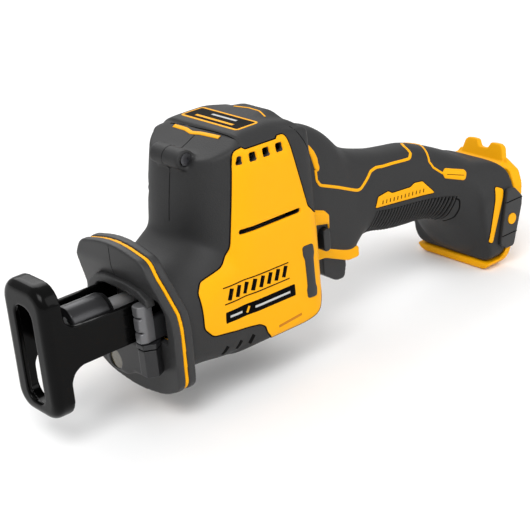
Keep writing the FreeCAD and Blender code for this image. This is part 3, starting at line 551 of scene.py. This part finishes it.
def build_panels():
    """Yellow flank panels with vents, blank marking areas and rubber strip, on both sides."""
    half, low, high = VENT_BRIDGE
    zones = [(x - half, x + half, low, high) for x in VENT_STATIONS]
    (slot_x, slot_z), (wide, tall) = VENT_SLOT, SLOT_BRIDGE
    zones.append((slot_x - wide, slot_x + wide, slot_z - tall, slot_z + tall))
    holes = [window(x, VENT_HEIGHT, VENT_HALF, VENT_HALF) for x in VENT_STATIONS[1:]]
    holes = [FRONT_VENT] + holes + [window(slot_x, slot_z, *SLOT_HALF, 1.0)]
    bars = [[(x, 54.9), (x + 2.0, 60.4)] for x in np.arange(-66.5, -30.0, 4.9)]
    for side, name in ((LEFT, "left"), (RIGHT, "right")):
        place = bridged(from_side(side), zones)
        panel = patch(name + "_panel", PANEL, place, "yellow", height=0.35, holes=holes,
                      crevice_shade=0.4)
        replaced(name + "_shell")
        label = patch(name + "_label_band", LABEL, place, "gloss", height=0.55, sink=0.0)
        replaced(name + "_label")
        stroke(name + "_frame_lines", FRAME_LINES, place, 0.75, "gloss", height=0.5)
        stroke(name + "_frame_bars", bars, place, 3.0, "gloss", height=0.5, soft=0.1)
        stroke(name + "_label_bars", [[(-67.0, 46.2), (-59.5, 46.1)], [(-51.5, 46.0),
               (-29.0, 45.8)]], place, 1.7, "print", height=0.6)
        stroke(name + "_label_tick", [[(-56.5, 44.6), (-54.8, 47.6)]], place, 1.8, "yellow",
               height=0.62)
        strip = patch(name + "_strip", SIDE_STRIP, place, "guard", height=1.0, sink=0.2,
                      crevice_shade=0.25)
        replaced(name + "_side_strip")
        # The groove is painted shade: a darkened copy of the panel yellow.
        stroke(name + "_panel_groove", [[(-37.7, 30.0), (-22.4, 31.2)]], place, 2.0, "groove_shade_yellow",
               height=0.4)
        # Belly notches and the rear seam are near-black lines of painted shade.
        stroke(name + "_belly_notches", [[(x, 27.6), (x + 3.0, 31.4)]
               for x in (-73.0, -64.5, -56.5)], place, 2.2, "crevice_shade", height=0.08, soft=0.5)
        stroke(name + "_rear_seam", [REAR_SEAM], place, 0.5, "crevice_shade", height=0.03)


def build_top():
    """Badge plate, its yellow border, the accents on the roof, and painted shade at the roof step
    and parting line.
    """
    badge = [(-41.6, -21.5, 2), (-28.4, -21.5, 2), (-28.4, 21.5, 2), (-41.6, 21.5, 2)]
    plate = patch("top_plate", badge, from_top, "gloss", height=0.08, sink=0.3)
    replaced("top_badge")
    stroke("top_border", [[(u, v) for u, v, _ in badge]], from_top, 1.4, "yellow", height=0.14,
           closed=True)
    stroke("badge_bar_front", [[(-37.8, 14.5), (-37.8, -14.5)]], from_top, 2.0, "yellow",
           height=0.13)
    stroke("badge_bar_rear", [[(-32.8, 8.0), (-32.8, -11.0)]], from_top, 1.8, "print",
           height=0.13)
    # Painted shade: a near-black line along the roof step.
    stroke("roof_step", [[(-48.2, 22.5), (-46.7, 9.0), (-46.2, -10.0), (-46.3, -20.0),
                          (-46.8, -29.0)]], from_top, 1.1, "crevice_shade", height=0.0)
    stroke("top_front_line", [[(-49.0, 18.5), (-49.0, 9.0), (-50.0, 3.5), (-49.0, -2.5),
                               (-48.5, -11.0), (-48.3, -16.4)]], from_top, 2.3, "yellow",
           height=0.3)
    stroke("top_rear_line", [[(-18.0, 9.0), (-15.6, 0.0), (-16.0, -8.0), (-18.6, -15.8)]],
           from_top, 0.9, "yellow", height=0.2)
    # Painted shade: a near-black bead along the front parting line.
    centre, ring = Vector((-45 * MM, 0, 105 * MM)), []
    for angle in range(104, 212, 2):
        out = Vector((math.cos(math.radians(angle)), 0, math.sin(math.radians(angle))))
        ring.append(cast(centre + out * 0.1, -out)[0])
    tube("front_parting", [p for p in ring if p is not None], 0.16, "crevice_shade", "housing", False)


# ---------------------------------------------------------------- grip and trigger housing
BLADE = [(5.4, 109.6, 0.5), (7.4, 108.8, 1), (9.2, 105.2, 2), (10.0, 101.6, 2),
         (9.6, 99.2, 0.5), (9.9, 96.9, 0.8), (8.9, 95.2, 0.8), (7.4, 95.0, 0.3), (5.9, 97.4, 1)]
UPPER_LINE = [(6.6, 47), (6.2, 38), (8.2, 32.5), (21.5, 29), (37.1, 22.5), (39.6, 25),
              (49.3, 47), (54.3, 51.5), (67.7, 54), (81.0, 54.5), (84.2, 62), (85.5, 78),
              (88.4, 90)]
REAR_LINE = [(102.0, 91), (97.5, 68), (94.9, 53), (93.4, 43), (94.8, 33), (100.0, 21)]
REAR_BOX = [(99.6, 66.2, 0.8), (102.6, 68.2, 0.8), (115.4, 64.0, 1.2), (116.4, 62.0, 1.2),
            (114.0, 58.9, 1.2), (112.6, 58.6, 1), (101.0, 62.6, 0.8)]
GRIP_PLATE = [(49.1, 61, 0.8), (51.5, 67.1, 1), (59.4, 68, 1), (62.3, 66, 1), (76, 65.1, 1),
              (79.2, 66.5, 1), (85.4, 65.7, 1), (94.3, 56.2, 1)]
LOCK_TRIM = [(-1.0, 77.6, 1), (9.6, 73.8, 2.5), (12.9, 70.4, 1.5), (13.4, 62.2, 0.4),
             (12.5, 62.2, 0.3), (12.0, 65.2, 0.8), (5.0, 66.9, 0.5), (-1.0, 68.0, 1)]
RIB_FIRST, RIB_LAST, RIB_STEP = 47.0, 103.0, 2.3
POCKET = [(95.3, 51.5), (109.4, 48.6), (109.6, 43.0), (108.4, 37.0), (106.0, 34.0)]


def build_grip():
    """Yellow accents, blank grip plate, ribs and the trims around the controls, with painted shade
    lines.
    """
    ribs = [[(x + 4.5, -19), (x + 2.0, -38), (x, -68)]
            for x in np.arange(RIB_FIRST, RIB_LAST, RIB_STEP)]
    ticks = [[(x, 62.0 - 0.09 * (x - 54)), (x + 0.5, 64.0 - 0.09 * (x - 54))]
             for x in np.arange(54.5, 88.0, 2.8)]
    for side, name in ((LEFT, "left"), (RIGHT, "right")):
        place, around = from_side(side), from_round(side)
        patch(name + "_blade", BLADE, place, "yellow", height=0.5)
        line = UPPER_LINE if side == LEFT else [(x, min(a, 46)) for x, a in UPPER_LINE[:-2]]
        stroke(name + "_upper_line", [line], around, 1.7, "yellow", soft=3.0, spacing=1.2)
        stroke(name + "_rear_line", [REAR_LINE], around, 1.3, "yellow", soft=3.0, spacing=1.2)
        patch(name + "_rear_box", REAR_BOX, place, "yellow", height=0.7)
        # Painted shade: a near-black line in the rear box's groove.
        stroke(name + "_box_groove", [[(102.6, 64.6), (113.6, 61.2)]], place, 0.5, "crevice_shade",
               height=0.72)
        patch(name + "_grip_plate", GRIP_PLATE, place, "yellow", crevice_shade=0.25)
        stroke(name + "_plate_ticks", ticks, place, 0.9, "gloss", height=0.4, soft=0.1)
        stroke(name + "_ribs", ribs, around, 1.2, "rubber", height=0.5, soft=4.0,
               spacing=2.4)
        # Painted shade: near-black strokes in the gaps between the ribs.
        stroke(name + "_rib_gaps", [[(x + 1.15, v) for x, v in rib] for rib in ribs], around,
               0.8, "crevice_shade", height=0.05, soft=4.0, spacing=2.4)
        # Painted shade: a near-black line round the pocket.
        stroke(name + "_pocket", [POCKET], place, 1.0, "crevice_shade", height=0.05, soft=2.5)
        patch(name + "_lock_trim", LOCK_TRIM, place, "yellow", height=0.8)


# ---------------------------------------------------------------- everything else
HOOD = [(22.6, 58.0), (22.0, 65.0), (14.0, 71.2), (6.0, 72.6), (-10.0, 72.6), (-20.0, 71.0),
        (-26.4, 67.6), (-26.6, 63.4), (-19.0, 66.6), (-8.0, 68.0), (6.0, 68.0), (13.0, 66.4),
        (17.4, 62.0), (18.2, 58.0)]
HOOD_FRONT, HOOD_REAR = -109.0, -103.6
SEAT_X, SEAT_Y = -107.0, -21.4
SEATS = [("lever_seat", 5.6, 27.5, 41.6), ("lever_seat_cap", 6.1, 42.2, 44.9)]
LEVER_ARM = -104.9  # behind this x the lever is its dark arm
PARTING_LOW, PARTING_HIGH = 73.5, 93.0
BLOCK_LIFT = 3.2
BLOCK_SIDE = -20.0  # further out than this the block is pressed in
BLOCK_PRESS = 0.55


def prism(outline, axis, low, high):
    """Closed block over an outline of (u, v) points, between two stations along an axis."""
    count, verts = len(outline), []
    for station in (low, high):
        for u, v in outline:
            corner = [u, v]
            corner.insert(axis, station)
            verts.append(Vector(corner) * MM)
    faces = [tuple(range(count))[::-1], tuple(range(count, 2 * count))]
    faces += [(i, (i + 1) % count, count + (i + 1) % count, count + i) for i in range(count)]
    return verts, faces


def hexagon(x, y, radius):
    """Corners of a hexagon about (x, y)."""
    turns = [math.radians(60 * k + 30) for k in range(6)]
    return [(x + radius * math.cos(a), y + radius * math.sin(a)) for a in turns]


def trimmed_block(x, y, z):
    """The work light's block is higher underneath and less deep on its outer side."""
    lift = BLOCK_LIFT * float(fade(-y, -2.0, 8.0) * (1 - fade(z, 21.0, 32.0)))
    return x, max(y, BLOCK_SIDE + (y - BLOCK_SIDE) * BLOCK_PRESS), z + lift


def build_nose():
    """Guard with its hood, shoe, clamp, lever on its hexagonal seat, and work light."""
    guard = softened("guard_front_layer", ["guard_front"], "guard", "housing", 0.5, 8)
    tree = BVHTree.FromObject(guard, bpy.context.evaluated_depsgraph_get())
    # Painted shade: a near-black bead along the guard's parting line.
    path = [cast((-0.2, 0, z * MM), (1, 0, 0), tree)[0]
            for z in np.arange(PARTING_LOW, PARTING_HIGH, 1.0)]
    tube("guard_parting", [p for p in path if p is not None], 0.14, "crevice_shade", "housing", False)
    softened("guard_rear_layer", ["guard_rear"], "guard", "housing", 0.5, 8)
    softened("guard_rim_line", ["guard_rim"], "yellow", "housing", 0.4, 3)
    softened("shoe_body", ["shoe"], "shoe", "housing", 0.5, 10)
    lever = softened("lever_body", ["release_lever"], "lever", "lever_unit", 0.4, 5)
    lever.data.materials.append(MATERIALS["dark"])
    for face in lever.data.polygons:
        face.material_index = int(face.center.x > LEVER_ARM * MM)
    softened("clamp_sleeve", ["clamp_collar"], "collar", "collar_unit", 0.35, 3)
    block = softened("light_block", ["led_housing"], "dark", "housing", 0.4, 4)
    reshape(block, trimmed_block)
    hood = prism(HOOD, 0, HOOD_FRONT, HOOD_REAR)
    soft_solid("opening_hood", *hood, "guard", "housing", 0.5, 8)
    for name, radius, low, high in SEATS:
        outline = hexagon(SEAT_X, SEAT_Y, radius)
        soft_solid(name, *prism(outline, 2, low, high), "dark", "housing", 0.35, 3)


FOOT_BAR = [(132.2, 50.4, 2.0), (138.4, 47.2, 2.0), (126.8, 17.6, 1.6), (123.7, 19.2, 1.6)]
SLIDE = next(m for m in frame["record"]["mounts"] if m["name"] == "battery_receiver")["axis"]
TILT = math.atan2(-SLIDE[2], SLIDE[0])
RECEIVER_REAR = 133.2
CREST_FOOT, CREST_ROOT = 95.0, 99.0
CREST_THINNER, CREST_NARROWER = 0.55, 0.1
PAD_FRONT, PAD_REAR, PAD_MIDDLE = 134.0, 150.0, 30.0
PAD_GROOVES = (20.4, 39.6)
GROOVE_LEAN = 0.3


def thin_crest(x, y, z):
    """The receiver's crest is thinner and narrower than its plate."""
    depth = x * math.cos(TILT) - z * math.sin(TILT)
    height = x * math.sin(TILT) + z * math.cos(TILT)
    share = float(fade(height, CREST_FOOT, CREST_ROOT))
    depth += (RECEIVER_REAR - depth) * CREST_THINNER * share
    y *= 1 - CREST_NARROWER * share
    return (depth * math.cos(TILT) + height * math.sin(TILT), y,
            height * math.cos(TILT) - depth * math.sin(TILT))


def build_foot():
    """Battery receiver, pads with painted shade lines for their grooves, and the yellow bar beside
    each pad.
    """
    receiver = softened("receiver_body", ["battery_receiver"], "yellow", "housing", 0.6, 5)
    reshape(receiver, thin_crest)
    for side, name in ((LEFT, "left"), (RIGHT, "right")):
        pad = softened(name + "_pad", [name + "_foot_pad"], "guard", "housing", 0.35, 6)
        place = from_side(side)
        patch(name + "_foot_bar", FOOT_BAR, place, "yellow", height=0.5, crevice_shade=0.3)
        tree = BVHTree.FromObject(pad, bpy.context.evaluated_depsgraph_get())
        # Painted shade: near-black beads along each pad's grooves.
        for z in PAD_GROOVES:
            lean = (z - PAD_MIDDLE) * GROOVE_LEAN
            path = [cast(((x + lean) * MM, side * 0.06, z * MM), (0, -side, 0), tree)[0]
                    for x in np.arange(PAD_FRONT, PAD_REAR, 0.5)]
            tube("%s_pad_groove_%d" % (name, z), [p for p in path if p is not None], 0.3,
                 "crevice_shade", "housing", False)


TRIGGER_LIP = [(4.0, 51.4, 2), (15.0, 50.6, 4), (32.0, 43.6, 6), (39.0, 42.4, 1.6),
               (39.0, 36.0, 1.6), (31.0, 36.2, 6), (15.0, 43.2, 6), (4.0, 44.0, 2)]
LIP_INNER, LIP_OUTER = 8.4, 13.7


def build_controls():
    """Trigger between its yellow cheeks, and the lock-off bar."""
    outline = resampled(rounded(TRIGGER_LIP), 1.0)
    for side, name in ((LEFT, "left"), (RIGHT, "right")):
        cheek = prism(outline, 1, side * LIP_INNER, side * LIP_OUTER)
        soft_solid(name + "_trigger_lip", *cheek, "yellow", "housing", 0.4, 6)
    softened("trigger_body", ["trigger"], "dark", "trigger_unit", 0.5, 8)
    softened("lock_bar", ["lock_off_button"], "dark", "lock_unit", 0.4, 6)


CAD_MATERIALS = {
    "shell_yellow": "yellow", "receiver_yellow": "yellow", "button_yellow": "yellow",
    "overmold_rubber": "rubber", "guard_rubber": "guard", "label_black": "gloss",
    "black_steel": "shoe", "fastener_steel": "screw", "plunger_steel": "steel",
    "collar_metal": "collar", "lever_metal": "lever", "block_aluminium": "aluminium",
    "bushing_bronze": "bronze", "gear_steel": "steel", "stator_copper": "copper",
    "rotor_steel": "steel", "inner_plastic": "dark", "control_plastic": "dark",
    "board_green": "board", "terminal_brass": "brass", "led_clear": "led",
}


def dress_cad_nodes():
    """Procedural materials for the CAD nodes that stay in view."""
    for part in frame["record"]["subparts"]:
        node = NODES[part["node"]]
        node.data.materials.clear()
        node.data.materials.append(MATERIALS[CAD_MATERIALS[part["material_slot"]]])


LAMPS = [("key", (-0.75, -0.55, 1.15), 0.7, 12), ("fill", (0.55, -1.1, 0.7), 0.9, 5.5),
         ("rim", (0.3, 0.9, 0.9), 0.8, 5.5)]
OBJECT_MIDDLE = Vector((0, 0, 0.06))
CAMERA_PLACE = Vector((-0.45337, -0.55071, 0.34779))
CAMERA_ANGLES = (-38.5, 23.2, 5.6)  # turn, rise and roll in degrees
CAMERA_LENS = 100.19
HORIZON_LIGHT, ZENITH_LIGHT, FULL_LIGHT_AT = 0.55, 0.75, 0.6


def build_stage():
    """Floor, room light, lamps and the camera."""
    bpy.ops.mesh.primitive_plane_add(size=8.0)
    floor = bpy.context.object
    floor.name = "floor"
    floor.data.materials.append(material("pale_floor", (0.86, 0.86, 0.86), 0.9, vary=0.01))
    world = bpy.data.worlds.new("soft_room")
    bpy.context.scene.world = world
    world.use_nodes = True
    tree = world.node_tree
    backdrop = tree.nodes["Background"]
    coords = tree.nodes.new("ShaderNodeTexCoord")
    split = tree.nodes.new("ShaderNodeSeparateXYZ")
    glow = tree.nodes.new("ShaderNodeMapRange")
    backdrop.inputs["Color"].default_value = (1, 1, 1, 1)
    glow.inputs["From Min"].default_value = 0.0
    glow.inputs["From Max"].default_value = FULL_LIGHT_AT
    glow.inputs["To Min"].default_value = HORIZON_LIGHT
    glow.inputs["To Max"].default_value = ZENITH_LIGHT
    tree.links.new(coords.outputs["Generated"], split.inputs[0])
    tree.links.new(split.outputs["Z"], glow.inputs["Value"])
    tree.links.new(glow.outputs["Result"], backdrop.inputs["Strength"])
    for name, place, size, power in LAMPS:
        light = bpy.data.lights.new(name, "AREA")
        light.size = size
        light.energy = power
        lamp = bpy.data.objects.new(name, light)
        lamp.location = place
        aim = OBJECT_MIDDLE - Vector(place)
        lamp.rotation_euler = aim.to_track_quat("-Z", "Y").to_euler()
        bpy.context.scene.collection.objects.link(lamp)
    turn, rise, roll = (math.radians(a) for a in CAMERA_ANGLES)
    back = Vector((math.sin(turn) * math.cos(rise), -math.cos(turn) * math.cos(rise),
                   math.sin(rise)))
    right = Vector((math.cos(turn), math.sin(turn), 0))
    up = back.cross(right)
    level = math.cos(roll) * right - math.sin(roll) * up
    upright = math.sin(roll) * right + math.cos(roll) * up
    data = bpy.data.cameras.new("camera")
    data.sensor_width = 36.0
    data.lens = CAMERA_LENS
    data.clip_start = 0.01
    camera = bpy.data.objects.new("camera", data)
    spot = CAMERA_PLACE
    camera.matrix_world = Matrix(((level.x, upright.x, back.x, spot.x),
                                  (level.y, upright.y, back.y, spot.y),
                                  (level.z, upright.z, back.z, spot.z), (0, 0, 0, 1)))
    bpy.context.scene.collection.objects.link(camera)
    bpy.context.scene.camera = camera
    bpy.context.scene.view_settings.view_transform = "Standard"


dress_cad_nodes()
build_skins()
build_panels()
build_top()
build_grip()
build_nose()
build_foot()
build_controls()
build_stage()
